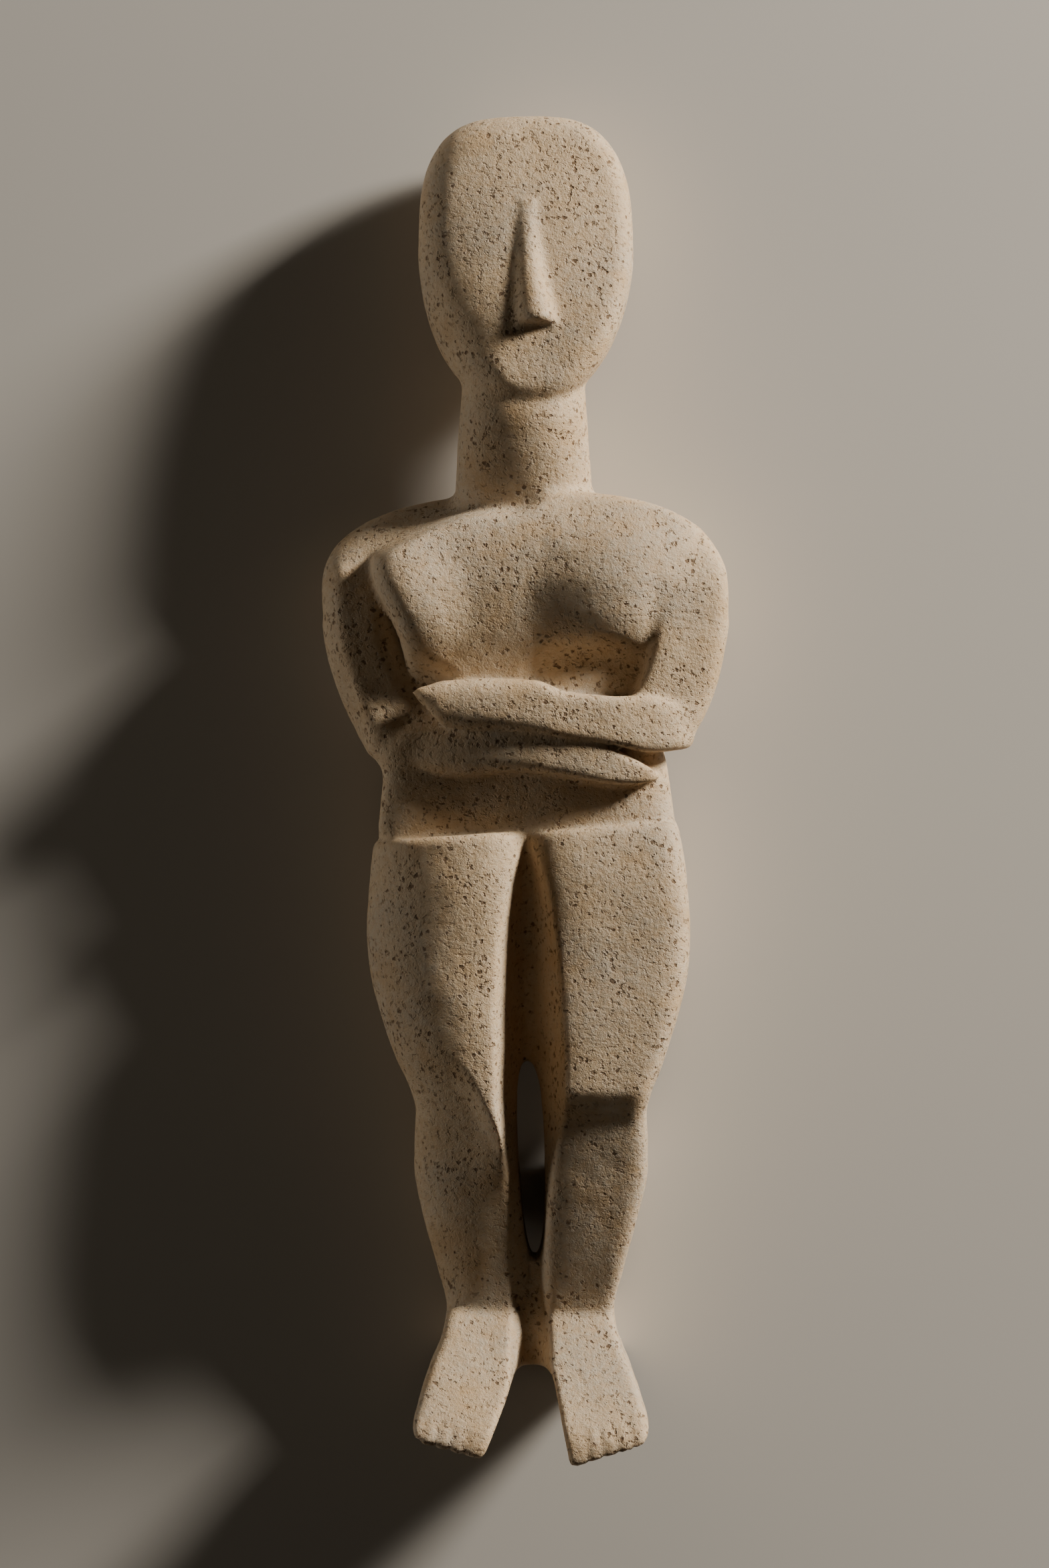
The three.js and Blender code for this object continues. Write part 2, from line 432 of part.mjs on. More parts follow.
// ---------------------------------------------------------------- thinning
// Collapses the edge that moves the surface least, again and again, until the target is reached.
function thin({ points, faces }, target) {
  const quadric = points.map(() => new Float64Array(10));
  const around = points.map(() => new Set());
  const live = faces.map(() => true);
  const normalOf = (a, b, c) => {
    const n = new THREE.Vector3(...b).sub(new THREE.Vector3(...a))
      .cross(new THREE.Vector3(...c).sub(new THREE.Vector3(...a)));
    return n;
  };
  faces.forEach((f, index) => {
    const n = normalOf(...f.map((v) => points[v]));
    const area = n.length();
    if (area > 1e-12) n.divideScalar(area);
    const w = -(n.x * points[f[0]][0] + n.y * points[f[0]][1] + n.z * points[f[0]][2]);
    const p = [n.x, n.y, n.z, w];
    let m = 0;
    const q = new Float64Array(10);
    for (let i = 0; i < 4; i++) for (let j = i; j < 4; j++) q[m++] = p[i] * p[j] * (area + 0.02);
    for (const v of f) {
      around[v].add(index);
      for (let i = 0; i < 10; i++) quadric[v][i] += q[i];
    }
  });
  const cost = (q, p) => {
    const r = [p[0], p[1], p[2], 1];
    let m = 0;
    let total = 0;
    for (let i = 0; i < 4; i++) for (let j = i; j < 4; j++) total += (i === j ? 1 : 2) * q[m++] * r[i] * r[j];
    return total;
  };
  const best = (a, b) => {
    const q = quadric[a].map((v, i) => v + quadric[b][i]);
    const middle = points[a].map((v, i) => (v + points[b][i]) / 2);
    const options = [middle, points[a], points[b]];
    const matrix = new THREE.Matrix3().set(q[0], q[1], q[2], q[1], q[4], q[5], q[2], q[5], q[7]);
    const size = Math.max(q[0], q[4], q[7]);
    if (Math.abs(matrix.determinant()) > 1e-4 * size ** 3) {
      const v = new THREE.Vector3(-q[3], -q[6], -q[8]).applyMatrix3(matrix.invert());
      const reach = Math.hypot(...points[a].map((c, i) => c - points[b][i]));
      if (v.distanceTo(new THREE.Vector3(...middle)) < 1.5 * reach) options.unshift([v.x, v.y, v.z]);
    }
    let pick = null;
    for (const p of options) {
      const c = cost(q, p);
      if (!pick || c < pick.cost - 1e-12) pick = { cost: c, p, q };
    }
    const length = Math.hypot(...points[a].map((c, i) => c - points[b][i]));
    return { ...pick, cost: pick.cost + 1e-5 * length * length };
  };
  const heap = [];
  const push = (item) => {
    let i = heap.push(item) - 1;
    while (i > 0) {
      const up = (i - 1) >> 1;
      if (heap[up].cost <= heap[i].cost) break;
      [heap[up], heap[i]] = [heap[i], heap[up]];
      i = up;
    }
  };
  const pop = () => {
    const top = heap[0];
    const last = heap.pop();
    if (heap.length) {
      heap[0] = last;
      for (let i = 0; ; ) {
        let low = i;
        for (const c of [2 * i + 1, 2 * i + 2]) if (c < heap.length && heap[c].cost < heap[low].cost) low = c;
        if (low === i) break;
        [heap[low], heap[i]] = [heap[i], heap[low]];
        i = low;
      }
    }
    return top;
  };
  const age = new Int32Array(points.length);
  const neighbours = (v) => {
    const set = new Set();
    for (const f of around[v]) for (const w of faces[f]) if (w !== v) set.add(w);
    return set;
  };
  const offer = (a, b) => {
    const choice = best(a, b);
    push({ cost: choice.cost, a, b, p: choice.p, q: choice.q, ages: [age[a], age[b]] });
  };
  faces.forEach((f) => {
    for (let i = 0; i < 3; i++) if (f[i] < f[(i + 1) % 3]) offer(f[i], f[(i + 1) % 3]);
  });
  const turns = (v, other, p) => {
    for (const f of around[v]) {
      if (faces[f].includes(other)) continue;
      const before = normalOf(...faces[f].map((w) => points[w]));
      const after = normalOf(...faces[f].map((w) => (w === v ? p : points[w])));
      const size = before.length() * after.length();
      if (after.length() < 0.02 || before.dot(after) < 0.5 * size) return true;
    }
    return false;
  };
  let count = faces.length;
  while (count > target && heap.length) {
    const { a, b, p, q, ages } = pop();
    if (age[a] !== ages[0] || age[b] !== ages[1] || !around[a].size || !around[b].size) continue;
    const nearA = neighbours(a);
    if (!nearA.has(b)) continue;
    let shared = 0;
    for (const v of neighbours(b)) if (nearA.has(v)) shared++;
    if (shared !== 2 || turns(a, b, p) || turns(b, a, p)) continue;
    points[a] = Math.abs(p[2]) < 0.05 ? [p[0], p[1], 0] : p;
    quadric[a] = q;
    for (const f of [...around[b]]) {
      if (faces[f].includes(a)) {
        live[f] = false;
        count--;
        for (const v of faces[f]) around[v].delete(f);
      } else {
        faces[f] = faces[f].map((v) => (v === b ? a : v));
        around[a].add(f);
      }
    }
    around[b].clear();
    age[a]++;
    age[b]++;
    for (const v of neighbours(a)) offer(Math.min(a, v), Math.max(a, v));
  }
  return { points, faces: faces.filter((_, i) => live[i]) };
}

// ---------------------------------------------------------------- the mesh
const { points, faces } = thin(surface(figure), TRIANGLES);
const used = [...new Set(faces.flat())];
const low = [0, 1].map((axis) => used.reduce((v, i) => Math.min(v, points[i][axis]), Infinity));
const high = [0, 1].map((axis) => used.reduce((v, i) => Math.max(v, points[i][axis]), -Infinity));
const index = new Map(used.map((v, i) => [v, i]));
const coordinates = used.flatMap((v) => [
  points[v][0] - (low[0] + high[0]) / 2,
  points[v][1] - (low[1] + high[1]) / 2,
  points[v][2],
]);
const geometry = new THREE.BufferGeometry();
geometry.setAttribute("position", new THREE.Float32BufferAttribute(coordinates, 3));
geometry.setIndex(faces.flat().map((v) => index.get(v)));
geometry.computeVertexNormals();
const figurine = new THREE.Mesh(geometry, new THREE.MeshStandardMaterial({ color: 0xd8c6a8, roughness: 0.75 }));
figurine.name = "figurine";
const group = new THREE.Group();
group.name = "cycladic_figurine";
group.add(figurine);

export default group;
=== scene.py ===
"""The folded-arm marble figure, lying on its back: its carved surface, its stone and its studio."""

import logging
from dataclasses import dataclass, field
from enum import Enum
from typing import Union

import bpy
import numpy as np
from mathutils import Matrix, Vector


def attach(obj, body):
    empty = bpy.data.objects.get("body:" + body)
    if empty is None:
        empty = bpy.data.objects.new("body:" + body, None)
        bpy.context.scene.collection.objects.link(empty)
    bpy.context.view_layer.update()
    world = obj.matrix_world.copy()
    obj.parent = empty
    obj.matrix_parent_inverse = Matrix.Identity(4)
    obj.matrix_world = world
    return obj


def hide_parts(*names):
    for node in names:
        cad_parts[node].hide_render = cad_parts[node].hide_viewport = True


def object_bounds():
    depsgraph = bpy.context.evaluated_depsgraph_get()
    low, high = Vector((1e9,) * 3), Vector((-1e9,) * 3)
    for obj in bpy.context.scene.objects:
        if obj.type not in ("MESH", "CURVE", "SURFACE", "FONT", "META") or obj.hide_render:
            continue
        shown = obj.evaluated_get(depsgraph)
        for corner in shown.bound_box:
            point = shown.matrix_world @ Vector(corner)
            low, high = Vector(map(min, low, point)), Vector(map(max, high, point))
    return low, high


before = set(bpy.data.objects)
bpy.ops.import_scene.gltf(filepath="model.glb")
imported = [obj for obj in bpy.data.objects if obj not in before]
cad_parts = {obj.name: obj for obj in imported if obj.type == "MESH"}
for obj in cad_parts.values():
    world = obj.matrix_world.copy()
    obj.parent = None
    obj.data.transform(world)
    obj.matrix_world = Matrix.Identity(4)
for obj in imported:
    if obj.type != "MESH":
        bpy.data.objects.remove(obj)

CAD_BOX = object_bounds()
MM = 0.001
NODE = "figurine"
log = logging.getLogger("figurine")

Array = np.ndarray
Size = Union[float, np.ndarray]


class Side(Enum):
    """A side of the figure, signed as it lies across the body."""

    RIGHT = -1
    LEFT = 1


# ------------------------------------------------------------------ shaping in the carver's millimetres
# u runs across the figure towards its left arm, h up from the toes, d forward from the plane it lies on.


def ramp(low: float, high: float, value: Array) -> Array:
    """Smooth step.

    Args:
        low: where the step leaves 0.
        high: where it reaches 1.
        value: the places looked at.

    Returns:
        Values from 0 to 1.
    """
    t = np.clip((value - low) / (high - low), 0.0, 1.0)
    return t * t * (3.0 - 2.0 * t)


def join(a: Array, b: Array, fillet: Size) -> Array:
    """Joins two shapes with a fillet.

    Args:
        a: distance to the first shape.
        b: distance to the second.
        fillet: width over which the two run together.

    Returns:
        Distance to the shape that holds both.
    """
    m = np.clip(fillet - np.abs(a - b), 0.0, None) / fillet
    return np.minimum(a, b) - m * m * fillet * 0.25


def keep(a: Array, b: Array, fillet: Size) -> Array:
    """Keeps what is in both shapes, with a rounded edge. Args and Returns are those of join."""
    return -join(-a, -b, fillet)


def oval(p: Array, q: Array, a: Size, b: Size, power: Size) -> Array:
    """Distance, near enough, to a rounded box in a plane.

    Args:
        p: first coordinate from the middle.
        q: second coordinate from the middle.
        a: half size along the first.
        b: half size along the second.
        power: 2 for an ellipse, more for squarer corners.

    Returns:
        The distance, negative inside.
    """
    pa = np.abs(p) / a + 1e-4
    qb = np.abs(q) / b + 1e-4
    s = pa**power + qb**power
    slope = np.hypot(pa ** (power - 1.0) / a, qb ** (power - 1.0) / b) * s ** (1.0 / power - 1.0)
    return (s ** (1.0 / power) - 1.0) / slope


@dataclass(frozen=True)
class Run:
    """A size that runs smoothly through a few stations, with no overshoot."""

    stations: tuple[tuple[float, float], ...]

    def __call__(self, at: Array) -> Array:
        """Returns the size at each place, held at its end values outside the stations."""
        xs, vs = (np.array(column) for column in zip(*self.stations))
        step = np.diff(xs)
        rate = np.diff(vs) / step
        tangent = np.zeros(len(xs))
        tangent[0], tangent[-1] = rate[0], rate[-1]
        for i in range(1, len(xs) - 1):
            if rate[i - 1] * rate[i] > 0:
                a, b = 2 * step[i] + step[i - 1], step[i] + 2 * step[i - 1]
                tangent[i] = (a + b) / (a / rate[i - 1] + b / rate[i])
        v = np.clip(at, xs[0], xs[-1])
        i = np.clip(np.searchsorted(xs, v) - 1, 0, len(xs) - 2)
        s = step[i]
        t = (v - xs[i]) / s
        r = 1.0 - t
        start = (1 + 2 * t) * r * r * vs[i] + t * r * r * s * tangent[i]
        end = t * t * (3 - 2 * t) * vs[i + 1] - t * t * r * s * tangent[i + 1]
        return start + end


def run(*stations: tuple[float, float]) -> Run:
    """Returns a Run through the stations given as (height, size) pairs."""
    return Run(tuple(stations))


@dataclass(frozen=True)
class Nose:
    """The wedge nose, which widens and rises from its top down to its base."""

    top: float = 370.0
    base: float = 335.5
    offset: float = 0.7
    drift: float = 3.8
    right: float = 2.2
    right_gain: float = 4.8
    left: float = 2.2
    left_gain: float = 3.2
    rise: float = 0.8
    rise_gain: float = 4.4
    sunk: float = 1.5
    power: float = 1.9
    undercut: float = 0.25

    def field(self, u: Array, h: Array, out: Array) -> Array:
        """Returns the distance to the nose; out is measured from the plane of the face."""
        down = np.clip((self.top - h) / (self.top - self.base), 0, 1)
        side = u - self.offset - self.drift * down**2
        width = np.where(side < 0, self.right + self.right_gain * down, self.left + self.left_gain * down)
        rise = self.rise + self.rise_gain * down
        wedge = oval(side, out + self.sunk, width, rise + self.sunk, self.power)
        wedge = keep(wedge, self.base - h + self.undercut * (out - 4), 2.0)
        return keep(wedge, h - self.top - 2, 1.0)


@dataclass(frozen=True)
class Head:
    """The tilted shield of the head, with its wedge nose."""

    widest: float = 360.0
    half_width: float = 32.4
    crown_rise: float = 39.6
    crown_power: float = 2.85
    chin_drop: float = 49.6
    chin_power: float = 2.05
    face: Run = run((308, 47.6), (322, 46.6), (334, 45.4), (344, 43.6), (354, 41.4), (388, 33.2), (400, 29.4))
    right_cheek: Run = run(
        (312, 0.05), (325, 0.05), (335, 0.036), (345, 0.024), (355, 0.016), (370, 0.011), (385, 0.008),
    )
    cheek_from: float = 4.0
    left_cheek: float = 1.6
    nape: Run = run((306, 20), (318, 13), (335, 5), (352, 0.5), (370, -1.2), (386, 1), (400, 8))
    nape_round: float = 120.0
    rim: float = 11.0
    left_rim: float = -2.5
    rim_power: float = 2.5
    left_power: float = 1.1
    nose: Nose = Nose()

    def field(self, u: Array, h: Array, d: Array) -> Array:
        """Returns the distance to the head and nose."""
        above = oval(u, h - self.widest, self.half_width, self.crown_rise, self.crown_power)
        below = oval(u, h - self.widest, self.half_width, self.chin_drop, self.chin_power)
        outline = np.where(h > self.widest, above, below)
        turned = 0.5 * self.right_cheek(h) * np.clip(-u - self.cheek_from, 0, None) ** 2
        plane = self.face(h)
        front = plane - turned - self.left_cheek * (np.clip(u, 0, None) / self.half_width) ** 3
        nape = self.nape(h) + u * u / self.nape_round
        half = np.clip((front - nape) / 2, 4, None)
        left = ramp(-12, 12, u)
        rim = self.rim + self.left_rim * left
        power = self.rim_power + self.left_power * left
        shield = oval(np.clip(outline + rim, 0, None), d - (front + nape) / 2, rim, half, power)
        return join(shield, self.nose.field(u, h, d - plane), 2.0)


@dataclass(frozen=True)
class Neck:
    """The plain column of the neck."""

    half_width: Run = run((280, 20.6), (300, 19.5), (318, 18.4), (340, 18))
    front: Run = run((276, 34), (284, 37.5), (292, 40.5), (300, 43), (310, 45), (330, 45))
    back: float = 8.5
    middle: float = 297.0
    reach: float = 31.0
    power: float = 2.2

    def field(self, u: Array, h: Array, d: Array) -> Array:
        """Returns the distance to the neck."""
        front = self.front(h)
        half_depth = (front - self.back) / 2
        column = oval(u, d - (front + self.back) / 2, self.half_width(h), half_depth, self.power)
        return keep(column, np.abs(h - self.middle) - self.reach, 4.0)


@dataclass(frozen=True)
class Swell:
    """A low breast, or with a rise below 0 a hollow, that fades into the chest all round."""

    across: float
    height: float
    rise: float
    half_width: float
    up: float
    down: float

    def rise_at(self, u: Array, h: Array) -> Array:
        """Returns how far it stands out of the chest."""
        v = h - self.height
        reach = ((u - self.across) / self.half_width) ** 2 + (v / np.where(v < 0, self.down, self.up)) ** 2
        return self.rise * np.clip(1 - reach, 0, None) ** 2


@dataclass(frozen=True)
class Trunk:
    """Chest, belly and back, with the two low breasts and the hollows under them."""

    right_half: Run = run(
        (186, 44.6), (196, 43.4), (205, 42.2), (218, 36), (230, 35), (240, 37), (246, 39), (250, 41),
        (258, 44.5), (268, 46), (276, 44), (290, 36),
    )
    left_half: Run = run(
        (186, 44.6), (196, 43.4), (205, 42.2), (218, 39), (226, 39.5), (232, 40.8), (240, 42.4),
        (248, 43.4), (256, 45), (262, 49), (270, 53), (280, 52), (290, 50),
    )
    front: Run = run(
        (160, 34), (178, 41), (186, 41.6), (192, 42.2), (200, 42.6), (212, 41), (228, 41.5), (236, 42.8),
        (244, 44.9), (252, 46.2), (260, 47), (266, 46.8), (271, 46), (275, 44.8), (280, 42.6), (284, 39.5),
        (288, 34),
    )
    back: Run = run((160, 3), (180, 4), (205, 5), (225, 1.5), (250, -1.5), (266, 1), (280, 8), (290, 14))
    middle: float = 24.0
    top: float = 289.0
    bottom: float = 176.0
    right_power: float = 7.0
    left_power: float = 5.5
    edge_height: float = 46.0
    edge_from: float = 8.2
    edge_gain: float = 6.5
    edge_spare: float = 25.0
    belly_tilt: float = 5.0
    swells: tuple[Swell, ...] = (
        Swell(across=-44.0, height=251.0, rise=6.8, half_width=30.0, up=34.0, down=26.0),
        Swell(across=29.0, height=251.0, rise=5.0, half_width=30.0, up=34.0, down=23.0),
        Swell(across=-34.0, height=225.0, rise=-7.0, half_width=18.0, up=13.0, down=14.0),
        Swell(across=20.0, height=231.0, rise=-6.5, half_width=24.0, up=13.0, down=14.0),
    )

    def core(self, u: Array, h: Array, d: Array, outline: Array) -> Array:
        """Distance to the chest, belly and back.

        Args:
            u: place across.
            h: height from the toes.
            d: depth.
            outline: distance to the outline of the shoulders, which the chest is bevelled down to.

        Returns:
            The distance.
        """
        front = self.front(h) + sum(swell.rise_at(u, h) for swell in self.swells)
        front = front - self.belly_tilt * (1 - ramp(-22, 18, u)) * (1 - ramp(203, 216, h))
        half = np.where(d > self.middle, front - self.middle, self.middle - self.back(h))
        right = u < 0
        half_width = np.where(right, self.right_half(h), self.left_half(h))
        power = np.where(right, self.right_power, self.left_power)
        core = oval(u, d - self.middle, half_width, half, power)
        spare = self.edge_spare * (ramp(-4, 34, u) + 1 - ramp(236, 246, h))
        width = self.edge_from + self.edge_gain * (1 - ramp(-44, -10, u))
        core = keep(core, (d - self.edge_height) * 0.24 + (outline + width) * 0.97 - spare, 2.5)
        return keep(keep(core, h - self.top, 6.0), self.bottom - h, 4.0)


@dataclass(frozen=True)
class Arms:
    """Shoulders and upper arms, one band along the outline down to the elbows."""

    height: float = 256.0
    half_width: float = 61.4
    shoulder_rise: float = 30.0
    shoulder_power: float = 2.45
    elbow_drop: float = 73.0
    elbow_power: float = 2.05
    right_elbow: float = 208.6
    left_elbow: float = 212.6
    lean: float = 0.2
    power: float = 3.0
    left_power: float = 3.5
    radius: Run = run((206, 11.5), (230, 11.5), (255, 11.5), (270, 12), (286, 12))
    right_top: Run = run((206, 33), (225, 34), (240, 36), (256, 36), (265, 33.5), (273, 29.5), (290, 26))
    left_top: Run = run(
        (206, 44), (225, 45), (256, 45.5), (264, 44.6), (270, 43), (276, 40.5), (282, 37), (290, 32),
    )
    bottom: Run = run((206, 13), (230, 8.5), (250, 4.5), (262, 6.5), (275, 9.5), (290, 12))

    def outline(self, u: Array, h: Array) -> Array:
        """Returns the distance to the outline of shoulders and arms."""
        above = oval(u, h - self.height, self.half_width, self.shoulder_rise, self.shoulder_power)
        below = oval(u, h - self.height, self.half_width, self.elbow_drop, self.elbow_power)
        return np.where(h > self.height, above, below)

    def field(self, u: Array, h: Array, d: Array, outline: Array) -> Array:
        """Returns the distance to both arms and to the stone left between them and the body."""
        r = self.radius(h)
        inward = -np.clip(outline, -2 * r, 0) - r
        left = ramp(-12, 12, u)
        front = self.right_top(h) * (1 - left) + self.left_top(h) * left
        bottom = self.bottom(h)
        middle = (front + bottom) / 2 + self.lean * inward
        band = oval(outline + r, d - middle, r, (front - bottom) / 2, self.power + self.left_power * left)
        band = keep(band, np.where(u < 0, self.right_elbow, self.left_elbow) - h, 6.0)
        top = 35.5 + 4.5 * left - (10.0 - 6.0 * left) * ramp(260, 272, h)
        rest = oval(np.clip(outline + 8.0, 0, None), d - top / 2, 5.0, top / 2, 3.0)
        return join(band, keep(rest, 212.0 - h, 6.0), 2.0)


@dataclass(frozen=True)
class Forearm:
    """A forearm and hand laid across the body, sized at stations from one side to the other."""

    height: Run
    depth: Run
    half_height: Run
    half_depth: Run
    start: float
    end: float

    def field(self, u: Array, h: Array, d: Array) -> Array:
        """Returns the distance to the forearm."""
        square = 2.6 + 2.6 * ramp(-12, 16, u)
        tube = oval(h - self.height(u), d - self.depth(u), self.half_height(u), self.half_depth(u), square)
        return keep(tube, np.maximum(self.start - u, u - self.end), 4.0)


LEFT_FOREARM = Forearm(
    height=run(
        (-34, 226), (-30, 224.6), (-24, 222.6), (-10, 222), (3, 221.4), (12, 219), (24, 217.6),
        (36, 216.6), (47, 216),
    ),
    depth=run(
        (-34, 43.5), (-30, 44), (-24, 44), (-10, 44.4), (4, 44.6), (20, 44.2), (36, 42.4), (44, 38.8),
        (50, 34),
    ),
    half_height=run(
        (-34, 0.8), (-30, 3.2), (-24, 6.8), (-10, 8), (3, 8.1), (12, 7.3), (24, 7.4), (36, 8.6), (47, 7),
    ),
    half_depth=run(
        (-34, 3), (-30, 4.5), (-24, 6), (-10, 7), (4, 7), (20, 6.4), (36, 6.4), (44, 7.5), (50, 8),
    ),
    start=-34.5,
    end=50.0,
)
RIGHT_FOREARM = Forearm(
    height=run(
        (-47, 212), (-36, 209), (-22, 209), (0, 210), (10, 208.6), (18, 206.4), (28, 203.4), (35, 201.8),
        (40, 200.8),
    ),
    depth=run(
        (-47, 25), (-36, 31), (-28, 35), (-16, 39), (-4, 41.6), (8, 42.6), (16, 42.8), (28, 42.8), (40, 42.8),
    ),
    half_height=run(
        (-47, 5), (-36, 6), (-22, 7.5), (0, 8), (10, 7.6), (18, 6.8), (28, 5), (35, 3), (40, 0.9),
    ),
    half_depth=run((-47, 9), (-36, 7), (-28, 6), (16, 6), (28, 5.4), (35, 4.6), (40, 3.6)),
    start=-47.0,
    end=40.0,
)


@dataclass(frozen=True)
class Feet:
    """The sloping feet, with their incised toes."""

    crest: float = 16.0
    instep_depth: float = 29.0
    instep_slope: float = 0.70
    ankle: float = 40.0
    middle: float = 20.0
    inner_half: float = 20.0
    half_depth: float = 60.0
    power: float = 3.5
    front: float = 53.0
    arch_top: float = 24.3
    outer: Run = run((2, 34.6), (8, 35.4), (17, 33), (25, 30), (33, 26.6), (40, 24.9))

    def instep(self, h: Array) -> Array:
        """Returns the depth of the top of the feet."""
        return self.instep_depth + (self.ankle - h) * self.instep_slope

    def field(self, u: Array, h: Array, d: Array) -> Array:
        """Returns the distance to both feet, still one block between the soles' edges."""
        a = np.abs(u)
        half = np.where(a < self.crest, self.inner_half, self.outer(h) - self.crest)
        block = oval(a - self.crest, d - self.middle, half, self.half_depth, self.power)
        block = keep(block, (d - self.instep(h)) * 0.82, 3.0)
        toe_line = np.where(u < 0, 1.2 + (a - 15.5) * 0.24, -1.2 + (a - 13.3) * 0.29)
        block = keep(block, (toe_line - h + (50.0 - d) * 0.47) * 0.905, 2.5)
        return keep(keep(block, d - self.front, 2.5), h - self.ankle - 2.0, 4.0)

    def arch(self, u: Array, h: Array) -> Array:
        """Returns the distance to the open arch between the feet."""
        spread = np.clip(21.0 - h, 0, None)
        right = -5.6 - 0.43 * spread
        left = 7.2 + 0.207 * spread
        return keep(np.maximum(right - u, u - left), h - self.arch_top, 5.0)


@dataclass(frozen=True)
class Legs:
    """Thighs, flexed knees and calves, parted by the cleft and by the slot between the calves."""

    outer: Run = run(
        (26, 26.3), (33, 25.4), (39, 25), (53, 27.8), (69, 32.1), (84.5, 34.9), (93, 34.7), (101, 34.3),
        (106, 35.4), (116, 39.5), (132, 44.8), (145, 47.7), (156, 48.4), (172, 47.3), (190, 44.6),
    )
    right_crest: Run = run((30, 12), (60, 9), (90, 10), (110, 15), (150, 15.5), (188, 16))
    left_crest: Run = run((30, 15), (60, 19), (90, 22), (120, 25), (150, 26), (188, 24))
    front: Run = run(
        (26, 27), (36, 27.5), (44, 29.5), (57, 34), (75, 39), (90, 42.5), (98, 44.6), (103, 47.6),
        (109, 50.2), (125, 50.2), (150, 49), (168, 48.5), (180, 47), (188, 45),
    )
    back: Run = run(
        (20, 0), (30, 3), (40, 6), (50, 5), (65, 1), (80, -1), (94, 4), (103, 7.5), (115, 5), (135, 1),
        (158, -1.5), (175, 0), (190, 4),
    )
    right_leg_lower: Run = run((20, 0), (40, -1.5), (57, -4), (75, -4.5), (90, -3.5), (100, -1), (110, 0))
    right_knee: Run = run((9, -12), (13, -5), (18, 5), (24, 10), (34, 11))
    edge: Run = run(
        (20, 6.6), (30, 6), (45, 5.4), (57, 5.2), (70, 5.8), (85, 7), (96, 9), (108, 10.4), (145, 9.3),
        (169, 6.3), (180, 2.6), (187, 0.4),
    )
    floor: Run = run(
        (20, 22), (40, 23.5), (57, 27), (80, 28), (115, 29), (145, 31), (165, 34), (178, 39), (186, 46),
    )
    back_edge: Run = run((20, 6), (60, 5.5), (120, 5.5), (150, 4), (170, 1))
    back_floor: Run = run((20, 9), (57, 9), (90, 8), (120, 10), (150, 6), (172, 0))
    top: float = 184.8
    top_slope: float = 0.06
    slot_height: float = 86.3
    slot_half: float = 29.6
    slot_half_width: float = 3.9
    slot_widen: float = 0.12
    slot_lean: float = 0.035
    slot_offset: float = 0.3
    feet: Feet = Feet()

    def field(self, u: Array, h: Array, d: Array) -> Array:
        """Returns the distance to the legs and feet."""
        a = np.abs(u)
        drop = np.where(u < 0, self.right_knee(a), 0.0) * ramp(70, 95, h) * (1 - ramp(125, 150, h))
        right = u < 0
        crest = np.where(right, self.right_crest(h), self.left_crest(h))
        front = self.front(h - drop) + np.where(right, self.right_leg_lower(h), 0.0)
        back = self.back(h)
        inside = a < crest
        half = np.where(inside, crest + 1.5, self.outer(h) - crest)
        power = np.where(inside, np.where(right, 2.6, 3.4), np.where(right, 2.0, 7.0))
        leg = oval(a - crest, d - (front + back) / 2, half, (front - back) / 2, power)
        leg = keep(leg, h - self.top - self.top_slope * u, 2.5)
        leg = keep(leg, 22.0 - h, 3.0)
        back_floor = self.back_floor(h)
        behind = np.clip((back_floor - d) / (back_floor + 0.1), 0, 1.2)
        back_wall = 1.0 + (self.back_edge(h) - 1.0) * behind
        leg = keep(leg, -np.maximum((a - back_wall) * 0.9, d - back_floor), 2.0)
        leg = keep(leg, -self.slot(u, h), 1.0)
        leg = join(leg, self.feet.field(u, h, d), 2.0)
        floor = self.floor(h)
        brow = np.maximum(front, np.where(h < 42, self.feet.instep(h), 0)) - 1.0
        rise = np.clip((d - floor) / np.maximum(brow - floor, 2.0), 0, 1.2)
        wall = 1.2 + (self.edge(h) - 1.2) * rise**0.7
        return keep(leg, -np.maximum(np.maximum((a - wall) * 0.9, floor - d), 18.0 - h), 1.0)

    def slot(self, u: Array, h: Array) -> Array:
        """Returns the distance to the slot that goes right through between the calves."""
        up = h - self.slot_height
        middle = self.slot_offset - self.slot_lean * up
        width = self.slot_half_width * (1 + self.slot_widen * up / self.slot_half)
        return oval(u - middle, up, width, self.slot_half, 2.5)


@dataclass(frozen=True)
class Weather:
    """The unevenness that hand abrasion and burial left on the stone."""

    seed: int = 17
    # (wavelength in mm, height in mm) of each layer of unevenness
    layers: tuple[tuple[float, float], ...] = ((34.0, 0.42), (13.0, 0.16), (5.0, 0.07), (2.6, 0.05))

    def noise(self, points: Array, wavelength: float, layer: int) -> Array:
        """Smooth noise from a hashed lattice.

        Args:
            points: places, one row each, in mm.
            wavelength: size of the lattice.
            layer: number that keeps the layers apart.

        Returns:
            Values from -1 to 1.
        """
        q = points / wavelength + 100.0 + 37.7 * layer
        base = np.floor(q).astype(np.int64)
        t = q - base
        t = t * t * t * (t * (6 * t - 15) + 10)
        total = np.zeros(len(points))
        for corner in range(8):
            o = np.array([corner & 1, (corner >> 1) & 1, corner >> 2])
            c = base + o
            key = c[:, 0] * 73856093 ^ c[:, 1] * 19349663 ^ c[:, 2] * 83492791
            key = key ^ (self.seed + layer) * 2654435761
            key = (key ^ (key >> 13)) * 1274126177 & 0xFFFFFFFF
            value = ((key ^ (key >> 16)) & 0xFFFF) / 32767.5 - 1.0
            weight = np.prod(np.where(o == 1, t, 1 - t), axis=1)
            total += weight * value
        return total

    def relief(self, points: Array) -> Array:
        """Returns how far each point stands out from the carved shape, in mm."""
        return sum(height * self.noise(points, size, i) for i, (size, height) in enumerate(self.layers))


